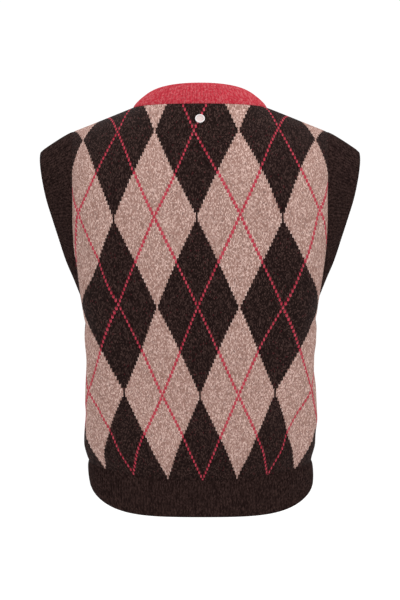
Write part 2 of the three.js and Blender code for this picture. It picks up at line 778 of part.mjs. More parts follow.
// Badge: a turned disc with a rounded rim and a shallow dish
function badge() {
  const { radius, thickness, rim, dish } = BADGE;
  const profile = [
    new THREE.Vector2(0, 0),
    new THREE.Vector2(radius - 0.5, 0),
    new THREE.Vector2(radius, 0.5),
    new THREE.Vector2(radius, thickness - 0.6),
    new THREE.Vector2(radius - 0.3, thickness - 0.15),
    new THREE.Vector2(radius - 0.5 * rim, thickness),
    new THREE.Vector2(radius - rim, thickness - 0.15),
    new THREE.Vector2(radius - rim - 0.5, thickness - dish),
    new THREE.Vector2(0, thickness - dish),
  ];
  return new THREE.LatheGeometry(profile, 24);
}

function cloth(color) {
  return new THREE.MeshStandardMaterial({ color, roughness: 0.95, metalness: 0 });
}

function piece(name, geometry, color) {
  const mesh = new THREE.Mesh(geometry, cloth(color));
  mesh.name = name;
  return mesh;
}

function badgePiece() {
  const mesh = piece('badge', badge(), BADGE_WHITE);
  mesh.material.roughness = 0.4;
  const out = outward('back', 0, BADGE.v);
  mesh.position.copy(smoothPoint('back', 0, BADGE.v)).addScaledVector(out, BADGE.seat);
  mesh.quaternion.setFromUnitVectors(new THREE.Vector3(0, 1, 0), out);
  return mesh;
}

const vest = new THREE.Group();
vest.add(
  piece('panel_back', backPanel(), DUSTY_PINK),
  piece('panel_front', frontPanel(), DUSTY_PINK),
  piece('neckband', neckband(), COLLAR_RED),
  piece('armband_left', armband(1), BAND_BROWN),
  piece('armband_right', armband(-1), BAND_BROWN),
  piece('hem_rib_back', hemRib('back'), DARK_BROWN),
  piece('hem_rib_front', hemRib('front'), DARK_BROWN),
  badgePiece(),
);

export default vest;
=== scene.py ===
"""Knitted sweater vest in its worn form, seen from behind: argyle panels with red raker lines, a red ribbed
neckband, dark ribbed armbands and hem, and a small round badge at the back neck. Flat places are in
millimetres on the cut cloth: u across from the centre line, v up from the hem rib."""

import math

import bmesh
import bpy
import numpy as np
from mathutils import Matrix, Vector


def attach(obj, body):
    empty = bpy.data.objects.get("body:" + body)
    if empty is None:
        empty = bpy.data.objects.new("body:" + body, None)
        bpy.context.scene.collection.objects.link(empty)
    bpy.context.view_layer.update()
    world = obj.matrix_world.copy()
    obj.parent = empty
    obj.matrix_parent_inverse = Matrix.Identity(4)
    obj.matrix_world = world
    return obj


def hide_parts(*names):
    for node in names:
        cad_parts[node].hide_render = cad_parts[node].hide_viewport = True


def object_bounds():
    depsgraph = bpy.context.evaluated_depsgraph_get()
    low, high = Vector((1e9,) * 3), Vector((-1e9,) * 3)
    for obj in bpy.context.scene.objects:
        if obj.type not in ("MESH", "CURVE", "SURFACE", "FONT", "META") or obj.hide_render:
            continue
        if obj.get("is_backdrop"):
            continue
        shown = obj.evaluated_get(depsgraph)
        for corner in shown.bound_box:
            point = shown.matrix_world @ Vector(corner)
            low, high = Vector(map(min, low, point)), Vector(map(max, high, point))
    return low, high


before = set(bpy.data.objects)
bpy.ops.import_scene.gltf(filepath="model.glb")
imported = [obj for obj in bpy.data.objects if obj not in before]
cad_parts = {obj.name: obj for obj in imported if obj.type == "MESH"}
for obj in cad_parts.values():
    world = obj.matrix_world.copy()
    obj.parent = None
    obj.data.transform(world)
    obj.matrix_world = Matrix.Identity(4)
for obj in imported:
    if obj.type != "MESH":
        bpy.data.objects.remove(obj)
cad_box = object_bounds()

MM = 0.001
TINY = 1e-9

# Cloth and stitches, with half a diamond of the argyle in millimetres and in stitches
WALL = 2.4
SET_BACK = 0.05
HALF_DIAMOND = {"width": 58, "height": 127, "wales": 22, "courses": 66}
WALE = HALF_DIAMOND["width"] / HALF_DIAMOND["wales"]
COURSE = HALF_DIAMOND["height"] / HALF_DIAMOND["courses"]
RIB_RISE = 1.1

# Flat cut of a panel
CHEST_HALF = 261
SHOULDER_HALF = 195
NECK_HALF = 95
PANEL_LENGTH = 565
UNDERARM = 260
ARMHOLE_CURVE = 140
YOKE = 381
BACK_NECK_DROP = 18
BACK_NECK_EASE = 8
BACK_NECK_TURN = math.radians(75)
V_POINT = UNDERARM + ARMHOLE_CURVE * (1 - math.cos(math.pi / 4))

# How much of a distance across from the edge of the V is square to it
V_SLANT = 0.94

# Shoulder line of the worn vest, and how the cloth is drawn over it
HIGH_POINT = np.array((99.0, 5.0, 4.0))
SHOULDER_TIP = np.array((188.0, 0.0, -31.0))
RIDGE_AT_NECK = {
    "back": {"deeper": 62, "higher": 12, "steep": 0.9},
    "front": {"deeper": -40, "higher": -15, "steep": 0.8},
}
RIDGE_TILT = 0.12
DRAPE_PULL = {"chest": 0.5, "ridge": 0.55}

# Bands, the hem's for half of it: width, ribs, bulge of the middle, and rows of the mesh over the outside
BANDS = {
    "neckband": {"width": 33.5, "ribs": 188, "bulge": 1.5, "rows": 9},
    "armband": {"width": 50, "ribs": 112, "bulge": 0.8, "rows": 10},
    "hem": {"width": 49, "ribs": 106, "bulge": 1.5, "rows": 10},
}

# How the neckband stands: its lean, where it begins to stand, how its ribs close up behind, how often its
# ways are evened out, and the least reach at its mitre with the share of the seam where that is looked for
NECK_LEAN = {"high_point": 0.78, "centre_back": 0.33}
NECKBAND_STANDS_FROM = 0.75 * PANEL_LENGTH
BACK_NECK_RIB_SPREAD = 0.85
NECK_EASING = 24
MITRE = {"least": 1.2, "within": 0.2}

# Place on the panel beside an armhole, from which its band leads away
ARMHOLE_HINT = {"across": 0.6, "down": 60}

# Worn height of flat heights on a panel, then the worn vest's sections by height, and its hem's free edge
HEIGHTS = {"v": (0, 127, 254, YOKE), "z": (-533, -415, -287, -163)}
BODY = {
    "z": (-533, -514, -488, -415, -350, -290, -250, -200, -140),
    "half_width": (162, 164, 170, 165.5, 162.5, 171, 177.5, 185.5, 190),
    "back": (105, 111, 117, 117, 118, 120, 120, 119, 117),
    "front": (104, 109, 115, 117, 119, 123, 125, 124, 119),
    "square": (2.35, 2.45, 2.6, 3, 3.4, 3.8, 4, 4, 4),
}
HEM = {
    "z": -583,
    "half_width": 162.5,
    "back": 116,
    "front": 114,
    "square": 2.3,
    "side_rise": 31,
    "rise_curve": 2,
    "drift": -2.5,
}
RIB_SEAM_RISE = 18
RIB_SEAM_FADE = 1.5
ARMBAND_EDGE = (
    (183, 0, -247),
    (187.5, 21, -239),
    (196, 34, -220),
    (205.5, 41, -190),
    (214.5, 44, -162),
    (223.5, 43, -133),
    (230.5, 37, -102),
    (235, 22, -76),
    (236, 0, -62),
)

# Soft folds: flat places of the two ends, width and height of each
FOLDS = {
    "back": (
        ((224, 205), (206, 110), 22, 4),
        ((-222, 212), (-214, 80), 24, 5),
        ((178, 350), (150, 270), 20, -3),
        ((-176, 345), (-138, 255), 22, -3),
        ((70, 18), (78, 70), 24, 3),
        ((-96, 16), (-88, 78), 26, 3),
        ((-12, 20), (-8, 62), 24, 2.5),
        ((150, 20), (152, 84), 24, 3),
    ),
    "front": (
        ((222, 208), (202, 100), 22, 4),
        ((-224, 204), (-208, 96), 22, 4),
        ((172, 352), (128, 262), 22, -3.5),
        ((-174, 348), (-134, 268), 20, -3),
        ((62, 18), (66, 76), 26, 3),
        ((-58, 18), (-66, 66), 24, 3),
        ((146, 20), (140, 82), 24, 2.5),
        ((-142, 18), (-146, 90), 26, 3),
    ),
}
FOLD_FADE = 26

# Finer creases of the scene, laid in the same way
CREASES = {
    "back": (
        ((236, 236), (196, 214), 7, -1.6),
        ((240, 214), (204, 176), 9, 1.5),
        ((-236, 240), (-192, 222), 8, -1.8),
        ((-242, 210), (-200, 184), 9, 1.6),
        ((-238, 172), (-206, 140), 10, -1.4),
        ((214, 30), (196, 58), 9, 1.6),
        ((120, 14), (116, 46), 9, 1.4),
        ((36, 12), (30, 44), 10, 1.3),
        ((-56, 12), (-52, 50), 9, -1.2),
        ((-138, 12), (-128, 54), 10, 1.5),
        ((-206, 26), (-190, 60), 9, 1.6),
        ((186, 420), (150, 330), 12, 1.3),
        ((-188, 410), (-154, 325), 12, 1.4),
    ),
    "front": (
        ((238, 238), (194, 220), 8, -1.7),
        ((-240, 232), (-198, 208), 8, -1.6),
        ((240, 206), (206, 168), 9, 1.5),
        ((-242, 196), (-206, 160), 9, 1.5),
        ((200, 28), (188, 60), 9, 1.5),
        ((104, 14), (100, 52), 10, 1.3),
        ((8, 12), (4, 44), 10, 1.2),
        ((-98, 12), (-104, 50), 9, 1.4),
        ((-196, 26), (-186, 62), 9, 1.5),
        ((40, 300), (84, 250), 14, 1.2),
        ((-38, 296), (-76, 254), 14, 1.1),
    ),
}
CREASE_FADE = 10
KNIT_WAVE = {
    "height": 0.45,
    "long": (31, 43),
    "short": (17, 23),
    "share": 0.6,
    "phase": {"back": 0.7, "front": 2.1},
}

# Way that each side faces along y, and a short step on the flat cloth to take slopes from
SIDES = {"back": 1, "front": -1}
STEP = 0.5

# Lie of the argyle on the worn cloth: for rows of diamonds by flat height, how far each
# column of them has moved across and up from its place on the flat cut. One number moves all columns
PATTERN_COLUMNS = np.array((-232, -174, -116, -58, 0, 58, 116, 174, 232))
PATTERN_LIE = {
    "back": (
        (0, (-20, 5.5, 1.5, -4.5, -4.5, -4.5, -3.5, -5.5, 30), (-4, -4, -2, 0, 0, 0, 2, -2, -2)),
        (63, (-40, 15, 3, -1, -2.2, -4, -1.5, -8, 45), (2, 2, 2, 2, 2, 5, 6.5, 4, 4)),
        (127, (-34, -22, 0.5, 0, 0, 0, 0.5, 22, 60), (0, 0, 1, 0, 0, 0, 1.5, -3, -3)),
        (254, (-34, -34, -4, 1.7, 3.4, 3.4, 1, 31, 31), (-4, -4, -5, -5, -4, -5, 0, -4, -4)),
        (317, (-5, -5, 0, 4, 4, 4, 0, -8, -8), (0, 0, -4, -3, -3, -3, -3, 0, 0)),
        (381, (-20, 6, 4.4, 4.4, 4.4, 4.4, 1, -1.6, 25), (9.5, 9.5, -5, 1, -3.5, -2.5, -6, 5, 5)),
        (444, (5, 5, 5.4, 4.8, 6.4, 5, 0.3, -1.6, -1.6), (3.7, 3.7, -4.5, -1.2, -2, -10, -13, 0, 0)),
        (508, (4.3, 4.3, 6.3, 5.3, 8.5, 3.7, -0.4, -1.7, -1.7), (-2, -2, -4, -3.5, 0, -5.5, -9, -2, -2)),
        (565, (4.3, 4.3, 6.3, 5.3, 8.5, 3.7, -0.4, -1.7, -1.7), (5, 5, 8, 12, 10, 12, 5, 6, 6)),
    ),
    "front": (
        (0, (-20, 5.5, -4.5, -4.5, -4.5, -4.5, -4.5, -5.5, 30), (-4, -4, 0, 0, 0, 0, 0, -2, -2)),
        (63, (-40, 15, -3, -3, -3, -3, -3, -8, 45), (2, 2, 0, 0, 0, 0, 0, 4, 4)),
        (127, (-34, -22, -2, -2, -2, -2, -2, 22, 60), (0, 0, 0, 0, 0, 0, 0, -3, -3)),
        (254, (-34, -34, 0, 0, 0, 0, 0, 31, 31), (-4, -4, 0, 0, 0, 0, 0, -4, -4)),
        (381, 1, -2.5),
        (565, 1, -8),
    ),
}

# Meshes: how many columns, rows and steps there are, how they are shared out, and how near places are one
PANEL_GRID = {"back": (146, 150), "front": (70, 150)}
PANEL_ROWS = {"to_underarm": 0.44, "to_curve_top": 0.72, "crowd_at_hem": 1.15, "crowd_at_shoulder": 1.3}
PANEL_COLUMNS = {"to_neck": 0.45, "crowd_back": 1.3, "crowd_front": 1.2}
CURVE_STEPS = {"section": 64, "drape": 60, "armband_edge": 16}
SEAM_STEPS = {"neck_front": 150, "neck_back": 121, "armhole": 80, "hem": 240, "mitre": 2001}
RIB_COLUMNS = 8
SEAM_ROWS = {"at_seam": (0, 0.8), "then_from": 2.2}
ROLLED_ROWS = {"turn": 72, "count": 5}
INSIDE_ROWS = 5
BADGE_STEPS = {"rim": 9, "round": 64}
WELD = {"front": 0.02, "band": 0.002, "badge": 0.005}

# Relief: the dip beside a seam, the bands' tuck at theirs, the ribs, and the groove before a free edge
SEAM_DIP = {"depth": 0.5, "width": 3.0}
SEAM_TUCK = {"depth": 0.6, "width": 2.5, "less_rib": 0.7}
RIB_ROUND = 2.4
RIB_END = {"height": 0.3, "low": 2.6, "full": 4.4}
EDGE_GROOVE = {"depth": 0.55, "from_edge": 3.3, "width": 0.9}
BADGE = {"radius": 6.8, "thickness": 2.2, "rim": 1.3, "dish": 0.7, "v": 527.5, "seat": 0.35}
BADGE_FACE = {"foot": 0.5, "slope": 0.1, "flat_from": 0.5, "hollow": 0.15, "above": 0.3}

# Camera, floor and light, in metres and watts: each softbox has its place, aim, size and power
CAMERA = {"place": (0, 2.0, -0.28), "lens": 81.08, "sensor": 36}
FLOOR = {"z": -0.95, "size": 4, "white": 0.95, "roughness": 0.9}
WORLD_LIGHT = 1.05
SOFTBOXES = (
    ("top_softbox", (-0.2, 0.8, 1.4), (0, 0, -0.2), 1.0, 15),
    ("key_softbox", (-1.6, 1.9, 1.0), (0, 0, -0.3), 1.2, 6),
    ("front_softbox", (0.9, -2.2, 1.1), (0, 0, -0.3), 1.2, 14),
)


# Smooth value of one column of a table at places along another
def from_table(table, key, at, column):
    places = np.array(table[key], float)
    values = np.array(table[column], float)
    last = len(places) - 1
    row = np.clip(np.searchsorted(places, at) - 1, 0, last - 1)
    span = places[row + 1] - places[row]
    share = np.clip((at - places[row]) / span, 0, 1)
    before = np.maximum(row - 1, 0)
    after = np.minimum(row + 2, last)
    start = (values[row + 1] - values[before]) / (places[row + 1] - places[before]) * span
    end = (values[after] - values[row]) / (places[after] - places[row]) * span
    s2, s3 = share**2, share**3
    level = (2 * s3 - 3 * s2 + 1) * values[row] + (3 * s2 - 2 * s3) * values[row + 1]
    return level + (s3 - 2 * s2 + share) * start + (s3 - s2) * end


# Places on curves at shares of their lengths; at gives places by a parameter from 0 to 1
def evenly(at, steps, share):
    line = at(np.repeat(np.linspace(0, 1, steps + 1)[None], len(share), 0))
    lengths = np.cumsum(np.linalg.norm(np.diff(line, axis=1), axis=2), 1)
    lengths = np.hstack([np.zeros((len(share), 1)), lengths])
    wanted = np.clip(share, 0, 1) * lengths[:, -1]
    step = np.clip((lengths < wanted[:, None]).sum(1), 1, steps)
    rows = np.arange(len(share))
    low, high = lengths[rows, step - 1], lengths[rows, step]
    return at((step - 1 + (wanted - low) / np.maximum(high - low, TINY)) / steps)


# Places on sections of the body by the share of cloth from the centre line to the side seam
def on_section(half_width, depth, square, share):
    def at(part):
        wide, deep, power = half_width, depth, square
        if part.ndim > 1:
            wide, deep, power = wide[:, None], deep[:, None], power[:, None]
        angle = part * math.pi / 2
        sine, cosine = np.sin(angle), np.maximum(np.cos(angle), 0)
        radius = ((sine / wide) ** power + (cosine / deep) ** power) ** (-1 / power)
        return np.stack([radius * sine, radius * cosine], -1)

    return evenly(at, CURVE_STEPS["section"], share).T


def body_section(side, z):
    return tuple(from_table(BODY, "z", z, column) for column in ("half_width", side, "square"))


def body_place(side, u, v):
    share = np.abs(u) / CHEST_HALF
    level = from_table(HEIGHTS, "v", v, "z")
    section = body_section(side, level)
    sideways = on_section(*section, share)[0] / section[0]
    fade = np.clip(1 - v / HEIGHTS["v"][2], 0, 1)
    z = level + RIB_SEAM_RISE * sideways**2 * fade**RIB_SEAM_FADE
    x, y = on_section(*body_section(side, z), share)
    return np.stack([np.sign(u) * x, SIDES[side] * y, z], 1)


def neck_share(u):
    return np.clip(1 - (u / NECK_HALF) ** 2, 0, 1)


def ridge_place(side, u):
    across = np.abs(u)
    out = np.clip((across - NECK_HALF) / (SHOULDER_HALF - NECK_HALF), 0, None)[:, None]
    shoulder = HIGH_POINT + (SHOULDER_TIP - HIGH_POINT) * out
    inner = neck_share(u)
    ridge = RIDGE_AT_NECK[side]
    x = np.where(across > NECK_HALF, shoulder[:, 0], HIGH_POINT[0] * across / NECK_HALF)
    y = shoulder[:, 1] + ridge["deeper"] * inner
    z = shoulder[:, 2] + ridge["higher"] * inner
    return np.stack([np.sign(u) * x, y, z], 1)


def ridge_height(side, u):
    return PANEL_LENGTH + (BACK_NECK_EASE * neck_share(u) if side == "back" else 0 * u)


# Cloth over the shoulder, from the yoke up to the ridge, by length along its way
def drape_place(side, u, v):
    chest = body_place(side, u, np.full(len(u), float(YOKE)))
    ridge = ridge_place(side, u)
    steep = RIDGE_TILT + (RIDGE_AT_NECK[side]["steep"] - RIDGE_TILT) * neck_share(u)
    arrival = np.stack([0 * u, SIDES[side] * np.sqrt(1 - steep**2), -steep], 1)
    rise = DRAPE_PULL["chest"] * (ridge[:, 2] - chest[:, 2])
    reach = DRAPE_PULL["ridge"] * np.abs(ridge[:, 1] - chest[:, 1])
    lower = chest + np.stack([0 * u, 0 * u, rise], 1)
    upper = ridge + arrival * reach[:, None]

    def at(t):
        parts = [chest, lower, upper, ridge]
        if t.ndim > 1:
            parts = [part[:, None] for part in parts]
        t = t[..., None]
        s = 1 - t
        weights = (s**3, 3 * s**2 * t, 3 * s * t**2, t**3)
        return sum(weight * part for weight, part in zip(weights, parts))

    return evenly(at, CURVE_STEPS["drape"], (v - YOKE) / (ridge_height(side, u) - YOKE))


# Place of flat points on the worn vest, before folds
def smooth_place(side, u, v):
    u, v = np.asarray(u, float), np.asarray(v, float)
    places = body_place(side, u, np.minimum(v, YOKE))
    high = v > YOKE
    if high.any():
        places[high] = drape_place(side, u[high], v[high])
    return places


def unit(vectors):
    return vectors / np.maximum(np.linalg.norm(vectors, axis=-1, keepdims=True), TINY)


def outward(side, u, v):
    across = smooth_place(side, u + STEP, v) - smooth_place(side, u - STEP, v)
    up = smooth_place(side, u, v + STEP) - smooth_place(side, u, v - STEP)
    return unit(np.cross(up, across) * SIDES[side])


def smoothstep(x, low, high):
    share = np.clip((x - low) / (high - low), 0, 1)
    return share * share * (3 - 2 * share)


# Lift of soft lines on the flat cloth, each given by its two ends, width and height
def line_lift(u, v, lines):
    lift = np.zeros(len(u))
    for (from_u, from_v), (to_u, to_v), width, height in lines:
        du, dv = to_u - from_u, to_v - from_v
        along = np.clip(((u - from_u) * du + (v - from_v) * dv) / (du**2 + dv**2), 0, 1)
        away = np.hypot(u - from_u - along * du, v - from_v - along * dv)
        lift += height * np.exp(-((away / width) ** 2))
    return lift


def from_cut_edge(u, v, half_width, top):
    return np.minimum(np.minimum(v, half_width - np.abs(u)), top - v)


def fold_lift(side, u, v, half_width, top):
    return line_lift(u, v, FOLDS[side]) * smoothstep(from_cut_edge(u, v, half_width, top), 0, FOLD_FADE)


# Finer creases of the scene, and the shallow waves of a soft knit all over
def crease_lift(side, u, v, edge):
    phase = KNIT_WAVE["phase"][side]
    (long_u, long_v), (short_u, short_v) = KNIT_WAVE["long"], KNIT_WAVE["short"]
    wave = np.sin(u / long_u + phase) * np.sin(v / long_v + 2 * phase)
    wave = wave + KNIT_WAVE["share"] * np.sin(u / short_u - v / short_v + phase)
    lift = line_lift(u, v, CREASES[side]) + KNIT_WAVE["height"] * wave
    return lift * smoothstep(edge, 0, CREASE_FADE)


def seam_dip(distance):
    return -SEAM_DIP["depth"] * np.exp(-np.maximum(distance, 0) / SEAM_DIP["width"])


# Place of flat points on the worn vest, with its folds, creases and dips
def worn_place(side, u, v, half_width, top, edge):
    lift = fold_lift(side, u, v, half_width, top) + crease_lift(side, u, v, edge) + seam_dip(edge)
    return smooth_place(side, u, v) + outward(side, u, v) * lift[:, None]


# Flat height and half width at a share of a panel's rows, close together at the ends and round the armhole
def panel_row(share):
    lower, curve = PANEL_ROWS["to_underarm"], PANEL_ROWS["to_curve_top"]
    angle = np.clip((share - lower) / (curve - lower), 0, 1) * math.pi / 2
    straight = 1 - (1 - np.clip((share - curve) / (1 - curve), 0, 1)) ** PANEL_ROWS["crowd_at_shoulder"]
    v = np.clip(share / lower, 0, 1) ** PANEL_ROWS["crowd_at_hem"] * UNDERARM
    v = v + ARMHOLE_CURVE * (1 - np.cos(angle)) + straight * (PANEL_LENGTH - UNDERARM - ARMHOLE_CURVE)
    return v, CHEST_HALF - (CHEST_HALF - SHOULDER_HALF) * np.sin(angle)


# Share of the half width at a share of the back's columns, with one through each high shoulder point
def back_column(share):
    neck, neck_columns = NECK_HALF / SHOULDER_HALF, PANEL_COLUMNS["to_neck"]
    inner = neck * np.sin(BACK_NECK_TURN * np.clip(share / neck_columns, 0, 1)) / math.sin(BACK_NECK_TURN)
    outer = 1 - (1 - neck) * np.clip((1 - share) / (1 - neck_columns), 0, 1) ** PANEL_COLUMNS["crowd_back"]
    return np.where(share <= neck_columns, inner, outer)


def back_top(u):
    neck = ridge_height("back", u) - BACK_NECK_DROP * np.sqrt(neck_share(u))
    return np.where(np.abs(u) >= NECK_HALF, PANEL_LENGTH, neck)


def v_edge(v):
    return NECK_HALF * np.clip((v - V_POINT) / (PANEL_LENGTH - V_POINT), 0, 1)


# Mesh from a grid of shares, laid out by a function that gives places and flat coordinates
def cloth_grid(columns, rows, lay_out):
    shape = bmesh.new()
    bmesh.ops.create_grid(shape, x_segments=columns, y_segments=rows, size=0.5)
    shares = np.array([corner.co[:2] for corner in shape.verts]) + 0.5
    places, flat = lay_out(shares[:, 0], shares[:, 1])
    for corner, place in zip(shape.verts, places * MM):
        corner.co = place
    layer = shape.loops.layers.uv.new("cloth")
    shape.verts.index_update()
    for face in shape.faces:
        face.smooth = True
        for loop in face.loops:
            loop[layer].uv = flat[loop.vert.index]
    return shape


def add_piece(name, shape, material, node):
    mesh = bpy.data.meshes.new(name)
    shape.to_mesh(mesh)
    shape.free()
    mesh.materials.append(material)
    piece = bpy.data.objects.new(name, mesh)
    bpy.context.collection.objects.link(piece)
    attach(piece, "root")
    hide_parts(node)
    return piece


# Wall behind a skin of cloth, inwards from its outer side, with crisp cut edges
def thicken(piece):
    wall = piece.modifiers.new("wall", "SOLIDIFY")
    wall.thickness = WALL * MM
    wall.offset = -1
    wall.use_rim = True


def sharpen_rim(shape):
    for edge in shape.edges:
        if edge.is_boundary:
            edge.smooth = False


# How far the pattern has moved across and up at flat places, straight between the rows of its lie
def pattern_moves(side, u, v):
    heights = np.array([row[0] for row in PATTERN_LIE[side]], float)
    moves = []
    for _, across, up in PATTERN_LIE[side]:
        knots = PATTERN_COLUMNS + across
        moves.append([np.interp(u, knots, np.broadcast_to(move, knots.shape)) for move in (across, up)])
    moves = np.array(moves)
    row = np.clip(np.searchsorted(heights, v) - 1, 0, len(heights) - 2)
    part = np.clip((v - heights[row]) / (heights[row + 1] - heights[row]), 0, 1)
    at = np.arange(len(v))
    return moves[row, :, at] * (1 - part[:, None]) + moves[row + 1, :, at] * part[:, None]


# Stitch coordinates: wales from the pattern's own centre line and courses from the hem
def stitch_map(side, u, v):
    across, up = pattern_moves(side, u, v).T
    return np.stack([(u - across) / WALE + 0.5, (v - up) / COURSE], 1)


def panel_piece(side, shape):
    sharpen_rim(shape)
    piece = add_piece(f"panel_{side}_knit", shape, ARGYLE, f"panel_{side}")
    thicken(piece)
    return piece


def panel_back():
    def lay_out(across, up):
        hand = np.sign(2 * across - 1)
        share = hand * back_column(np.abs(2 * across - 1))
        v, half_width = panel_row(up)
        top = back_top(share * SHOULDER_HALF)
        u = share * (half_width - SET_BACK)
        v = np.where(v <= YOKE, v, YOKE + (v - YOKE) * (top - YOKE) / (PANEL_LENGTH - YOKE))
        v = np.clip(v, SET_BACK, top - SET_BACK)
        edge = from_cut_edge(u, v, half_width, top)
        return worn_place("back", u, v, half_width, top, edge), stitch_map("back", u, v)

    shape = cloth_grid(*PANEL_GRID["back"], lay_out)
    bmesh.ops.reverse_faces(shape, faces=shape.faces)
    return panel_piece("back", shape)


# Front panel in two halves that are one below the V point
def panel_front():
    def half(hand):
        def lay_out(across, up):
            v, half_width = panel_row(up)
            inner = v_edge(v) + np.where(v > V_POINT + WELD["front"] / 2, SET_BACK, 0)
            share = 1 - (1 - across) ** PANEL_COLUMNS["crowd_front"]
            u = hand * (inner + (half_width - SET_BACK - inner) * share)
            v = np.clip(v, SET_BACK, PANEL_LENGTH - SET_BACK)
            edge = from_cut_edge(u, v, half_width, PANEL_LENGTH)
            edge = np.where(v > V_POINT, np.minimum(edge, V_SLANT * (np.abs(u) - inner)), edge)
            return worn_place("front", u, v, half_width, PANEL_LENGTH, edge), stitch_map("front", u, v)

        return cloth_grid(*PANEL_GRID["front"], lay_out)

    shape, other = half(1), half(-1)
    bmesh.ops.reverse_faces(other, faces=other.faces)
    mesh = bpy.data.meshes.new("front_half")
    other.to_mesh(mesh)
    other.free()
    shape.from_mesh(mesh)
    bpy.data.meshes.remove(mesh)
    bmesh.ops.remove_doubles(shape, verts=shape.verts, dist=WELD["front"] * MM)
    return panel_piece("front", shape)


def gradient(points, closed):
    if closed:
        return unit(np.roll(points, -1, 0) - np.roll(points, 1, 0))
    return unit(np.gradient(points, axis=0))


# Frames along a seam: its points, the way off the panel, the band's own way, and the ways out of both
def seam_frames(points, out, hint, band_way, closed):
    along = gradient(points, closed)

    def square(ways):
        return unit(ways - along * (ways * along).sum(1, keepdims=True))

    def outwards(way):
        side = np.cross(along, way)
        return side * np.where((side * out).sum(1) < 0, -1, 1)[:, None]

    panel_way = square(np.cross(along, out))
    panel_way = panel_way * np.where((panel_way * hint).sum(1) < 0, -1, 1)[:, None]
    band = square(band_way(panel_way))
    away = unit(panel_way + band)
    return {"point": points, "away": away, "band": band, "out": outwards(away), "band_out": outwards(band)}


def lengths_along(points, spread=None):
    steps = np.linalg.norm(np.diff(points, axis=0), axis=1)
    if spread is not None:
        steps = steps * np.minimum(spread[1:], spread[:-1])
    return np.concatenate([[0], np.cumsum(steps)])


# Way that the standing neckband leans, by the share of the way from centre back to the high point
def neck_lean(share):
    inward = -NECK_LEAN["high_point"] * share
    forward = -NECK_LEAN["centre_back"] * np.sqrt(np.clip(1 - share**2, 0, 1))
    return np.stack([inward, forward, np.sqrt(1 - inward**2 - forward**2)], 1)


# Neck seam from the V point up the wearer's left, round behind and down the right
def neck_seam():
    count = SEAM_STEPS["neck_front"]
    v = np.linspace(V_POINT, PANEL_LENGTH, count)
    sides = []
    for hand in (1, -1):
        u = hand * v_edge(v)
        inside = smooth_place("front", u - hand * STEP, v) - smooth_place("front", u + hand * STEP, v)
        stand = smoothstep(v, NECKBAND_STANDS_FROM, PANEL_LENGTH)
        places, out = smooth_place("front", u, v), outward("front", u, v)
        sides.append([places, out, inside, stand, np.full(count, float(hand))])
    turn = np.linspace(BACK_NECK_TURN, -BACK_NECK_TURN, SEAM_STEPS["neck_back"])[1:-1]
    share = np.sin(turn) / math.sin(BACK_NECK_TURN)
    u = NECK_HALF * share
    behind = [smooth_place("back", u, back_top(u)), outward("back", u, back_top(u))]
    behind += [np.tile((0.0, 0.0, 1.0), (len(u), 1)), np.ones(len(u)), share]
    right = [column[::-1] for column in sides[1]]
    points, out, hint, stand, share = (np.concatenate(part) for part in zip(sides[0], behind, right))
    spread = np.concatenate([np.ones(count), np.full(len(u), BACK_NECK_RIB_SPREAD), np.ones(count)])
    upright = neck_lean(share)

    def band_way(panel_way):
        return panel_way + (upright - panel_way) * stand[:, None]

    frames = seam_frames(points, out, hint, band_way, False)
    frames["lengths"] = lengths_along(points, spread)
    for key in ("away", "band", "out", "band_out"):
        frames[key] = eased(frames[key], NECK_EASING)
    return frames


# Row of ways with its turns evened out between neighbours
def eased(ways, times):
    for _ in range(times):
        ways = np.vstack([ways[:1], (ways[:-2] + 2 * ways[1:-1] + ways[2:]) / 4, ways[-1:]])
    return unit(ways)


# Free edge of an armband at shares of its length, on a smooth closed curve through its places
def armband_edge(hand, share):
    behind = [(hand * x, y, z) for x, y, z in ARMBAND_EDGE]
    knots = np.array(behind + [(hand * x, -y, z) for x, y, z in ARMBAND_EDGE[-2:0:-1]], float)
    part = np.linspace(0, 1, CURVE_STEPS["armband_edge"], endpoint=False)[:, None]
    line = []
    for index in range(len(knots)):
        a, b, c, d = (knots[(index + step) % len(knots)] for step in (-1, 0, 1, 2))
        bend = (2 * a - 5 * b + 4 * c - d) * part**2 + (3 * b - a - 3 * c + d) * part**3
        line.append(0.5 * (2 * b + (c - a) * part + bend))
    line = np.vstack(line + [line[0][:1]])
    lengths = lengths_along(line)
    return np.stack([np.interp(share * lengths[-1], lengths, line[:, axis]) for axis in range(3)], 1)


# Armhole seam from the underarm up behind to the shoulder tip and down in front
def armhole_seam(hand):
    angle = np.linspace(0, math.pi / 2, SEAM_STEPS["armhole"])
    straight = np.linspace(UNDERARM + ARMHOLE_CURVE, PANEL_LENGTH, SEAM_STEPS["armhole"])[1:]
    v = np.concatenate([UNDERARM + ARMHOLE_CURVE * (1 - np.cos(angle)), straight])
    half_width = CHEST_HALF - (CHEST_HALF - SHOULDER_HALF) * np.sin(angle)
    half_width = np.concatenate([half_width, np.full(len(straight), float(SHOULDER_HALF))])
    sides = []
    for side, pick in (("back", slice(None)), ("front", slice(-2, 0, -1))):
        inner = hand * (half_width[pick] - STEP)
        points = smooth_place(side, hand * half_width[pick], v[pick])
        out = outward(side, inner, np.minimum(v[pick], PANEL_LENGTH - STEP))
        on_panel = smooth_place(side, ARMHOLE_HINT["across"] * inner, v[pick] - ARMHOLE_HINT["down"])
        sides.append((points, out, points - on_panel))
    points, out, hint = (np.concatenate(part) for part in zip(*sides))
    lengths = lengths_along(np.vstack([points, points[:1]]))
    half, whole = lengths[len(v) - 1], lengths[-1]
    share = np.interp(lengths[:-1], (0, half, whole), (0, 0.5, 1))
    edge = armband_edge(hand, share)
    frames = seam_frames(points, out, hint, lambda panel_way: edge - points, True)
    frames["edge"] = edge
    frames["lengths"] = lengths
    return frames


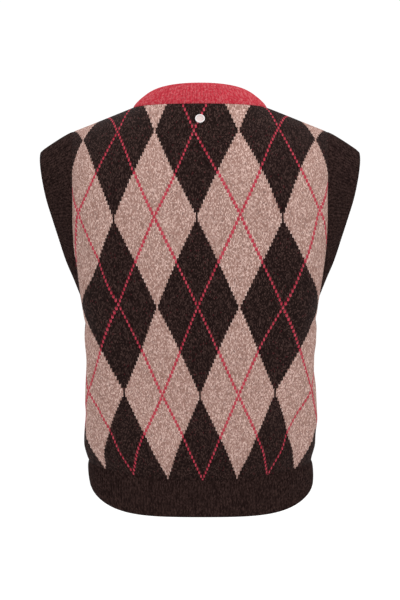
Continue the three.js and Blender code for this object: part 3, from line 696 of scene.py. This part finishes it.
def hem_seam(side):
    share = np.linspace(-1, 1, SEAM_STEPS["hem"])
    u = share * CHEST_HALF
    points = smooth_place(side, u, 0 * u)
    size = [np.full(len(u), float(HEM[key])) for key in ("half_width", side, "square")]
    x, y = on_section(*size, np.abs(share))
    rise = HEM["side_rise"] * np.clip(1 - (y / size[1]) ** 2, 0, 1) ** HEM["rise_curve"]
    edge = np.stack([np.sign(share) * x + HEM["drift"], SIDES[side] * y, HEM["z"] + rise], 1)
    out = outward(side, u, 0 * u + STEP)
    out[0], out[-1] = (-1, 0, 0), (1, 0, 0)
    down = np.tile((0.0, 0.0, -1.0), (len(u), 1))
    frames = seam_frames(points, out, down, lambda panel_way: edge - points, False)
    frames["edge"] = edge
    frames["lengths"] = lengths_along(points)
    return frames


# Way round a band's wall as across, depth and how ribbed: outside, rolled free edge, inside and seam edge
def wall_section(width, outside_rows):
    roll = WALL / 2
    outside = np.linspace(SEAM_ROWS["then_from"], width - roll, outside_rows)
    rows = [(across, 0, 1) for across in (*SEAM_ROWS["at_seam"], *outside)]
    for turn in np.radians(np.linspace(ROLLED_ROWS["turn"], -ROLLED_ROWS["turn"], ROLLED_ROWS["count"])):
        sine, cosine = math.sin(turn), math.cos(turn)
        rows.append((width - roll + roll * cosine, roll * sine - roll, 0.5 + 0.5 * sine))
    rows += [(across, -WALL, 0) for across in np.linspace(width - roll, 0, INSIDE_ROWS)]
    return np.array(rows + rows[:1])


# Reach of the neckband from its seam, cut off at the mitre over the V point
def neckband_reach(base, band):
    width = BANDS["neckband"]["width"]
    room = (np.abs(base[:, 0]) - SET_BACK) / np.maximum(np.abs(band[:, 0]), TINY)
    return np.where(base[:, 1] < HIGH_POINT[1] - 1, np.clip(room, 0, width), width)


# Seam frames at shares of the seam's length
def sample_seam(frames, closed, share):
    found = {}
    for key in ("point", "away", "band", "out", "band_out", "edge"):
        if key in frames:
            ways = np.vstack([frames[key], frames[key][:1]]) if closed else frames[key]
            at = share * frames["lengths"][-1]
            found[key] = np.stack([np.interp(at, frames["lengths"], ways[:, axis]) for axis in range(3)], 1)
    for key in ("away", "band", "out", "band_out"):
        found[key] = unit(found[key])
    found["base"] = found["point"] + found["away"] * SET_BACK
    return found


# Ribbed band sewn along a seam: raised ribs outside, a rolled free edge and a plain inside. Limits are shares
# of the seam that the band covers, and keep_to holds it on its own side of the garment
def ribbed_band(name, frames, closed, limits=(0, 1), keep_to=None):
    width, ribs = BANDS[name]["width"], BANDS[name]["ribs"]
    section = wall_section(width, BANDS[name]["rows"])
    start, end = limits

    def lay_out(along, around):
        across, depth, ribbed = section[np.rint(around * (len(section) - 1)).astype(int)].T
        share = start + (end - start) * along
        seam = sample_seam(frames, closed, share)
        if "edge" in seam:
            edge = seam["edge"]
        else:
            edge = seam["base"] + seam["band"] * neckband_reach(seam["base"], seam["band"])[:, None]
        part = (across / width)[:, None]
        at_seam = np.exp(-across / SEAM_TUCK["width"])
        wave = 1 - np.abs(2 * ((share * ribs) % 1) - 1) ** RIB_ROUND
        full_rib = smoothstep(width - across, RIB_END["low"], RIB_END["full"])
        wave = wave * (RIB_END["height"] + (1 - RIB_END["height"]) * full_rib)
        from_groove = (width - across - EDGE_GROOVE["from_edge"]) / EDGE_GROOVE["width"]
        relief = RIB_RISE * wave * (1 - SEAM_TUCK["less_rib"] * at_seam) - SEAM_TUCK["depth"] * at_seam
        lift = depth + ribbed * (relief - EDGE_GROOVE["depth"] * np.exp(-(from_groove**2)))
        out = unit(seam["out"] * at_seam[:, None] + seam["band_out"] * (1 - at_seam[:, None]))
        places = seam["base"] + (edge - seam["base"]) * part + out * lift[:, None]
        places = places + seam["band_out"] * (4 * part * (1 - part) * BANDS[name]["bulge"])
        if keep_to:
            places[:, 1] = keep_to * np.maximum(keep_to * places[:, 1], SET_BACK)
        return places, np.stack([share * ribs, across / COURSE], 1)

    shape = cloth_grid(round(ribs * (end - start) * RIB_COLUMNS), len(section) - 1, lay_out)
    bmesh.ops.remove_doubles(shape, verts=shape.verts, dist=WELD["band"] * MM)
    if not closed:
        ends = [edge for edge in shape.edges if edge.is_boundary]
        bmesh.ops.holes_fill(shape, edges=ends, sides=0)
    bmesh.ops.recalc_face_normals(shape, faces=shape.faces)
    return shape


def neckband():
    frames = neck_seam()
    share = np.linspace(0, MITRE["within"], SEAM_STEPS["mitre"])
    seam = sample_seam(frames, False, share)
    first = share[np.argmax(neckband_reach(seam["base"], seam["band"]) >= MITRE["least"])]
    shape = ribbed_band("neckband", frames, False, limits=(first, 1 - first))
    return add_piece("neckband_rib", shape, RED_RIB, "neckband")


def armband(side, hand):
    shape = ribbed_band("armband", armhole_seam(hand), True)
    return add_piece(f"armband_{side}_rib", shape, BROWN_RIB, f"armband_{side}")


def hem_band(side):
    shape = ribbed_band("hem", hem_seam(side), False, keep_to=SIDES[side])
    return add_piece(f"hem_{side}_rib", shape, BROWN_RIB, f"hem_rib_{side}")


# Half section of the badge as radius and height, and the radius inside which it is dished
def badge_section():
    radius, thickness, foot = BADGE["radius"], BADGE["thickness"], BADGE_FACE["foot"]
    rim_radius, slope, hollow = BADGE["rim"] / 2, BADGE_FACE["slope"], BADGE_FACE["hollow"]
    middle, inner = radius - rim_radius, radius - 2 * rim_radius
    section = [(0, 0), (radius - foot, 0), (radius, foot)]
    for turn in np.radians(np.linspace(0, 180, BADGE_STEPS["rim"])):
        section.append((middle + rim_radius * math.cos(turn), thickness - rim_radius * (1 - math.sin(turn))))
    dish = thickness - BADGE["dish"]
    section += [(inner - slope, dish + hollow), (inner - BADGE_FACE["flat_from"], dish)]
    section += [(0.5 * inner, dish - slope), (0, dish - hollow)]
    return section, inner - slope


# Round badge: a turned disc with a rounded rim and a shallow dish, on the cloth of the back neck
def badge():
    section, dish_radius = badge_section()
    shape = bmesh.new()
    corners = [shape.verts.new((r * MM, 0, z * MM)) for r, z in section]
    edges = [shape.edges.new(pair) for pair in zip(corners, corners[1:])]
    bmesh.ops.spin(
        shape,
        geom=corners + edges,
        cent=(0, 0, 0),
        axis=(0, 0, 1),
        dvec=(0, 0, 0),
        angle=2 * math.pi,
        steps=BADGE_STEPS["round"],
        use_merge=True,
        use_duplicate=False,
    )
    bmesh.ops.remove_doubles(shape, verts=shape.verts, dist=WELD["badge"] * MM)
    bmesh.ops.recalc_face_normals(shape, faces=shape.faces)
    for face in shape.faces:
        face.smooth = True
        centre = face.calc_center_median() / MM
        above = centre.z > BADGE_FACE["above"] * BADGE["thickness"]
        face.material_index = 1 if above and math.hypot(centre.x, centre.y) < dish_radius else 0
    u, v = np.zeros(1), np.array([float(BADGE["v"])])
    top = back_top(u)
    place = worn_place("back", u, v, SHOULDER_HALF, top, from_cut_edge(u, v, SHOULDER_HALF, top))
    out = Vector(outward("back", u, v)[0])
    seat = Vector(place[0] * MM) + out * BADGE["seat"] * MM
    upright = Vector((0, 0, 1)).rotation_difference(out).to_matrix().to_4x4()
    bmesh.ops.transform(shape, matrix=Matrix.Translation(seat) @ upright, verts=shape.verts)
    piece = add_piece("badge_disc", shape, badge_enamel("badge_rim", "badge_white"), "badge")
    piece.data.materials.append(badge_enamel("badge_face", "badge_pink"))


# Colours, as red, green and blue shares of light: the yarn's ground and its paler or darker fibres
COLOURS = {
    "dark_ground": (0.0078, 0.0032, 0.0028),
    "dark_fibre": (0.082, 0.045, 0.039),
    "pink_ground": (0.272, 0.154, 0.126),
    "pink_fibre": (0.640, 0.450, 0.398),
    "raker_ground": (0.340, 0.022, 0.042),
    "raker_fibre": (0.480, 0.070, 0.098),
    "fleck_red": (0.26, 0.03, 0.045),
    "fleck_dark": (0.10, 0.055, 0.05),
    "red_ground": (0.375, 0.021, 0.035),
    "red_fibre": (0.495, 0.118, 0.128),
    "badge_white": (0.69, 0.65, 0.65),
    "badge_pink": (0.44, 0.34, 0.325),
}

# Wools: ground and fibre, the most fibre on a leg of a stitch, and how rare the legs full of fibre are
WOOLS = {
    "pink": {"ground": "pink_ground", "fibre": "pink_fibre", "most": 0.95, "rare": 2.4},
    "brown": {"ground": "dark_ground", "fibre": "dark_fibre", "most": 0.62, "rare": 3.0},
    "raker": {"ground": "raker_ground", "fibre": "raker_fibre", "most": 0.9, "rare": 2.0},
    "red_rib": {"ground": "red_ground", "fibre": "red_fibre", "most": 0.75, "rare": 2.0},
    "brown_rib": {"ground": "dark_ground", "fibre": "dark_fibre", "most": 0.4, "rare": 1.6},
}

# Flecks of loose fibre: how strong each kind is and the speckle that brings it out
FLECKS = {"dark": 0.55, "dark_below": 0.045, "red": 0.15, "red_above": 0.985}

# Raker lines: wales between two of them, courses before one moves on, where a line starts and ends across its
# wale, and how much of it shows in the gap between its dashes
RAKER = {
    "apart": 2.0 * HALF_DIAMOND["wales"],
    "courses": 3.0,
    "dash": 1.5,
    "start": {"pink": -0.25, "dark": 0.25},
    "end": 1.25,
    "gap": {"pink": 0.8, "dark": 0.25},
}

# Surface of the wools: shine, the scales of what is uneven in them and how uneven it is, the part of a
# stitch's painted shade that is below its mean, the legs across a rib, and how round the yarn is
WOOL_SHINE = 0.06
SHEEN_ROUGHNESS = 0.6
NOISE_SCALES = {"cloud": 0.35, "fibre": 700.0, "fuzz": 1500.0, "sway": 1.3, "rise": 0.9}
UNEVEN = {"cloud": 0.25, "fibre": 0.5, "fuzz": 0.5, "rise_by_sway": 1.5}
SHADE_BELOW = 0.55
LEGS_IN_RIB = 3.0
YARN_ROUND = {"leg": 0.5, "stitch": 0.35}

# Share of the way from a dark diamond's middle to its border that is dark, just short of the border itself
DARK_TO = 0.999


# Material with short calls for its nodes
class Swatch:
    def __init__(self, name, roughness, sheen, tint, shine=WOOL_SHINE):
        self.material = bpy.data.materials.new(name)
        self.material.use_nodes = True
        self.nodes = self.material.node_tree.nodes
        self.links = self.material.node_tree.links
        self.surface = self.nodes["Principled BSDF"]
        self.surface.inputs["Roughness"].default_value = roughness
        self.surface.inputs["Specular IOR Level"].default_value = shine
        self.surface.inputs["Sheen Weight"].default_value = sheen
        self.surface.inputs["Sheen Roughness"].default_value = SHEEN_ROUGHNESS
        self.surface.inputs["Sheen Tint"].default_value = (*tint, 1)

    def plug(self, value, socket):
        if isinstance(value, bpy.types.NodeSocket):
            self.links.new(value, socket)
        elif isinstance(value, tuple):
            socket.default_value = (*value, 1)[: len(socket.default_value)]
        else:
            socket.default_value = value

    def math(self, operation, *values):
        node = self.nodes.new("ShaderNodeMath")
        node.operation = operation
        for value, socket in zip(values, node.inputs):
            self.plug(value, socket)
        return node.outputs[0]

    def mix(self, share, first, second, blend="MIX"):
        node = self.nodes.new("ShaderNodeMix")
        node.data_type = "RGBA"
        node.blend_type = blend
        self.plug(share, node.inputs["Factor"])
        self.plug(first, node.inputs[6])
        self.plug(second, node.inputs[7])
        return node.outputs[2]

    def join(self, x, y):
        node = self.nodes.new("ShaderNodeCombineXYZ")
        self.plug(x, node.inputs[0])
        self.plug(y, node.inputs[1])
        return node.outputs[0]

    def speckle(self, x, y):
        node = self.nodes.new("ShaderNodeTexWhiteNoise")
        node.noise_dimensions = "2D"
        self.links.new(self.join(x, y), node.inputs["Vector"])
        return node.outputs["Value"]

    def noise(self, vector, scale, detail=2.0):
        node = self.nodes.new("ShaderNodeTexNoise")
        node.noise_dimensions = "3D"
        node.inputs["Scale"].default_value = scale
        node.inputs["Detail"].default_value = detail
        self.links.new(vector, node.inputs["Vector"])
        return node.outputs["Fac"]

    # The piece's own map and its two shares, loosened a little as yarn lies
    def flat(self, loose):
        uv = self.nodes.new("ShaderNodeUVMap")
        uv.uv_map = "cloth"
        parts = self.nodes.new("ShaderNodeSeparateXYZ")
        self.links.new(uv.outputs[0], parts.inputs[0])
        found = [uv.outputs[0]]
        reaches = {"sway": loose, "rise": UNEVEN["rise_by_sway"] * loose}
        for share, (way, reach) in zip(parts.outputs, reaches.items()):
            noise = self.noise(uv.outputs[0], NOISE_SCALES[way])
            moved = self.math("MULTIPLY_ADD", noise, reach, -0.5 * reach)
            found.append(self.math("ADD", share, moved))
        return found

    def below(self, value, limit):
        return self.math("LESS_THAN", value, limit)

    def above(self, value, limit):
        return self.math("GREATER_THAN", value, limit)

    # Distance from the middle of a whole step, from 0 there to 1 at both of its ends
    def from_middle(self, steps):
        return self.math("ABSOLUTE", self.math("MULTIPLY_ADD", self.math("FRACT", steps), 2.0, -1.0))

    # From 0 at both ends of a share to 1 in its middle
    def peak(self, share):
        return self.math("SUBTRACT", 1.0, self.math("ABSOLUTE", self.math("MULTIPLY_ADD", share, 2.0, -1.0)))

    # Brightness about 1 from a share between 0 and 1
    def around_one(self, share, spread):
        return self.math("MULTIPLY_ADD", share, spread, 1 - 0.5 * spread)

    def grey(self, value):
        node = self.nodes.new("ShaderNodeCombineColor")
        for socket in node.inputs[:3]:
            self.plug(value, socket)
        return node.outputs[0]

    def object_place(self):
        return self.nodes.new("ShaderNodeTexCoord").outputs["Object"]

    def finish(self, colour, height, depth, strength):
        bump = self.nodes.new("ShaderNodeBump")
        bump.inputs["Distance"].default_value = depth * MM
        bump.inputs["Strength"].default_value = strength
        self.links.new(height, bump.inputs["Height"])
        self.links.new(bump.outputs[0], self.surface.inputs["Normal"])
        self.links.new(colour, self.surface.inputs["Base Color"])
        return self.material


# V-shaped knit stitches, their legs slanted over part of a course: whole wale, whole course and yarn height
def knit_stitches(swatch, wales, courses, slant):
    across = swatch.from_middle(wales)
    slanted = swatch.math("SUBTRACT", courses, swatch.math("MULTIPLY", across, slant))
    leg = swatch.math("POWER", swatch.peak(across), YARN_ROUND["leg"])
    stitch = swatch.math("POWER", swatch.peak(swatch.math("FRACT", slanted)), YARN_ROUND["stitch"])
    yarn = swatch.math("MULTIPLY", leg, stitch)
    return swatch.math("FLOOR", wales), swatch.math("FLOOR", slanted), yarn


# Wool of a ground colour with fibres of another, more of them in some stitches than in others
def heather(swatch, wool, leg):
    wool = WOOLS[wool]
    share = swatch.math("MULTIPLY", swatch.math("POWER", leg, wool["rare"]), wool["most"])
    return swatch.mix(share, COLOURS[wool["ground"]], COLOURS[wool["fibre"]])


# Colour and height of spun wool: cloudy over the piece and uneven in its fibres, with painted shade darkening
# the colour between its stitches
def worsted(swatch, colour, uv, yarn, painted_shade):
    cloud = swatch.noise(uv, NOISE_SCALES["cloud"], 3)
    fibre = swatch.noise(swatch.object_place(), NOISE_SCALES["fibre"])
    fuzz = swatch.noise(swatch.object_place(), NOISE_SCALES["fuzz"])
    # Painted shade: the colour is darker where the yarn is low between stitches
    tone = swatch.math("MULTIPLY_ADD", yarn, painted_shade, 1 - SHADE_BELOW * painted_shade)
    for noise, uneven in ((fibre, UNEVEN["fibre"]), (cloud, UNEVEN["cloud"])):
        tone = swatch.math("MULTIPLY", tone, swatch.around_one(noise, uneven))
    colour = swatch.mix(1.0, colour, swatch.grey(tone), "MULTIPLY")
    return colour, swatch.math("MULTIPLY_ADD", fuzz, UNEVEN["fuzz"], yarn)


# 1 on the dark diamonds and on the wales that join their points, 0 on the pink ones
def dark_diamonds(swatch, wale, course):
    wales, courses = float(HALF_DIAMOND["wales"]), float(HALF_DIAMOND["courses"])
    sideways = swatch.math("ABSOLUTE", swatch.math("WRAP", wale, wales, -wales))
    upwards = swatch.math("ABSOLUTE", swatch.math("WRAP", course, courses, -courses))
    away = swatch.math("ADD", swatch.math("DIVIDE", sideways, wales), swatch.math("DIVIDE", upwards, courses))
    return swatch.math("MAXIMUM", swatch.below(away, DARK_TO), swatch.below(sideways, 0.5))


# How much of a raker line shows: it moves on by a wale in three courses, and is thinner on the dark diamonds
def raker_lines(swatch, half_wale, course, dark):
    def by_ground(values):
        return swatch.math("MULTIPLY_ADD", dark, values["dark"] - values["pink"], values["pink"])

    next_course = swatch.math("ADD", course, 1.0)
    step = swatch.math("FLOOR", swatch.math("DIVIDE", next_course, RAKER["courses"]))
    half_left = swatch.math("MULTIPLY_ADD", half_wale, 0.5, 0.5)
    lines = []
    for operation in ("ADD", "SUBTRACT"):
        along = swatch.math("FLOORED_MODULO", swatch.math(operation, half_left, step), RAKER["apart"])
        from_start = swatch.above(along, by_ground(RAKER["start"]))
        lines.append(swatch.math("MULTIPLY", swatch.below(along, RAKER["end"]), from_start))
    dash = swatch.below(swatch.math("FLOORED_MODULO", next_course, RAKER["courses"]), RAKER["dash"])
    dash = swatch.math("MAXIMUM", dash, by_ground(RAKER["gap"]))
    return swatch.math("MULTIPLY", swatch.math("MAXIMUM", *lines), dash)


def argyle_knit():
    swatch = Swatch("argyle_wool", roughness=1.0, sheen=0.012, tint=(0.8, 0.7, 0.66))
    uv, wales, courses = swatch.flat(loose=0.16)
    wale, course, yarn = knit_stitches(swatch, wales, courses, slant=0.6)
    half_wale = swatch.math("FLOOR", swatch.math("MULTIPLY", wales, 2.0))
    dark = dark_diamonds(swatch, wale, course)
    raker = raker_lines(swatch, half_wale, course, dark)

    leg = swatch.speckle(half_wale, course)
    fleck = swatch.speckle(course, half_wale)
    dark_fleck = swatch.math("MULTIPLY", swatch.below(fleck, FLECKS["dark_below"]), FLECKS["dark"])
    red_fleck = swatch.math("MULTIPLY", swatch.above(fleck, FLECKS["red_above"]), FLECKS["red"])
    pink = swatch.mix(dark_fleck, heather(swatch, "pink", leg), COLOURS["fleck_dark"])
    colour = swatch.mix(dark, pink, heather(swatch, "brown", leg))
    colour = swatch.mix(red_fleck, colour, COLOURS["fleck_red"])
    colour = swatch.mix(raker, colour, heather(swatch, "raker", leg))
    return swatch.finish(*worsted(swatch, colour, uv, yarn, painted_shade=0.55), depth=0.7, strength=0.6)


# One-by-one rib: a knit column on each rib and painted shade darkening the colour in the valleys between
def rib_knit(name, wool, valley_shade):
    swatch = Swatch(name, roughness=1.0, sheen=0.07, tint=COLOURS[WOOLS[wool]["fibre"]])
    uv, ribs, courses = swatch.flat(loose=0.1)
    _, course, yarn = knit_stitches(swatch, ribs, courses, slant=0.9)
    from_ridge = swatch.math("POWER", swatch.from_middle(ribs), 2.5)
    # Painted shade: the colour is darker towards the valleys between ribs
    painted_shade = swatch.math("SUBTRACT", 1.0, swatch.math("MULTIPLY", from_ridge, valley_shade))
    leg = swatch.speckle(swatch.math("FLOOR", swatch.math("MULTIPLY", ribs, LEGS_IN_RIB)), course)
    colour = swatch.mix(1.0, heather(swatch, wool, leg), swatch.grey(painted_shade), "MULTIPLY")
    return swatch.finish(*worsted(swatch, colour, uv, yarn, painted_shade=0.3), depth=0.5, strength=0.5)


def badge_enamel(name, colour):
    swatch = Swatch(name, roughness=0.32, sheen=0, tint=(1, 1, 1), shine=0.5)
    place = swatch.object_place()
    tone = swatch.around_one(swatch.noise(place, scale=420.0), 0.08)
    colour = swatch.mix(1.0, COLOURS[colour], swatch.grey(tone), "MULTIPLY")
    return swatch.finish(colour, swatch.noise(place, scale=900.0), depth=0.1, strength=0.1)


def add_camera():
    camera = bpy.data.objects.new("camera", bpy.data.cameras.new("camera"))
    camera.data.sensor_fit = "VERTICAL"
    camera.data.sensor_height = CAMERA["sensor"]
    camera.data.lens = CAMERA["lens"]
    camera.location = CAMERA["place"]
    camera.rotation_euler = (math.radians(90), 0, math.radians(180))
    bpy.context.collection.objects.link(camera)
    bpy.context.scene.camera = camera


def add_floor():
    shape = bmesh.new()
    bmesh.ops.create_grid(shape, x_segments=1, y_segments=1, size=FLOOR["size"])
    bmesh.ops.translate(shape, verts=shape.verts, vec=(0, 0, FLOOR["z"]))
    mesh = bpy.data.meshes.new("floor")
    shape.to_mesh(mesh)
    shape.free()
    floor = bpy.data.objects.new("floor", mesh)
    bpy.context.collection.objects.link(floor)
    paper = bpy.data.materials.new("white_paper")
    paper.use_nodes = True
    surface = paper.node_tree.nodes["Principled BSDF"]
    surface.inputs["Base Color"].default_value = (*[FLOOR["white"]] * 3, 1)
    surface.inputs["Roughness"].default_value = FLOOR["roughness"]
    mesh.materials.append(paper)
    floor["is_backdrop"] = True


def add_light():
    world = bpy.data.worlds.new("white_studio")
    world.use_nodes = True
    background = world.node_tree.nodes["Background"]
    background.inputs["Color"].default_value = (1, 1, 1, 1)
    background.inputs["Strength"].default_value = WORLD_LIGHT
    bpy.context.scene.world = world
    bpy.context.scene.view_settings.view_transform = "Standard"

    for name, place, aim, size, power in SOFTBOXES:
        light = bpy.data.objects.new(name, bpy.data.lights.new(name, "AREA"))
        light.data.shape = "SQUARE"
        light.data.size = size
        light.data.energy = power
        light.location = place
        light.rotation_euler = (Vector(aim) - Vector(place)).to_track_quat("-Z", "Y").to_euler()
        bpy.context.collection.objects.link(light)


add_camera()
add_floor()
add_light()
ARGYLE = argyle_knit()
RED_RIB = rib_knit("neckband_wool", "red_rib", valley_shade=0.07)
BROWN_RIB = rib_knit("rib_wool", "brown_rib", valley_shade=0.12)

# Pieces of the vest: panels, neckband, armbands, hem bands and badge
panel_back()
panel_front()
neckband()
for armband_side, armband_hand in (("left", 1), ("right", -1)):
    armband(armband_side, armband_hand)
for hem_side in ("back", "front"):
    hem_band(hem_side)
badge()

boxes = {"cad": cad_box, "visual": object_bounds()}
{name: [list(corner) for corner in box] for name, box in boxes.items()}
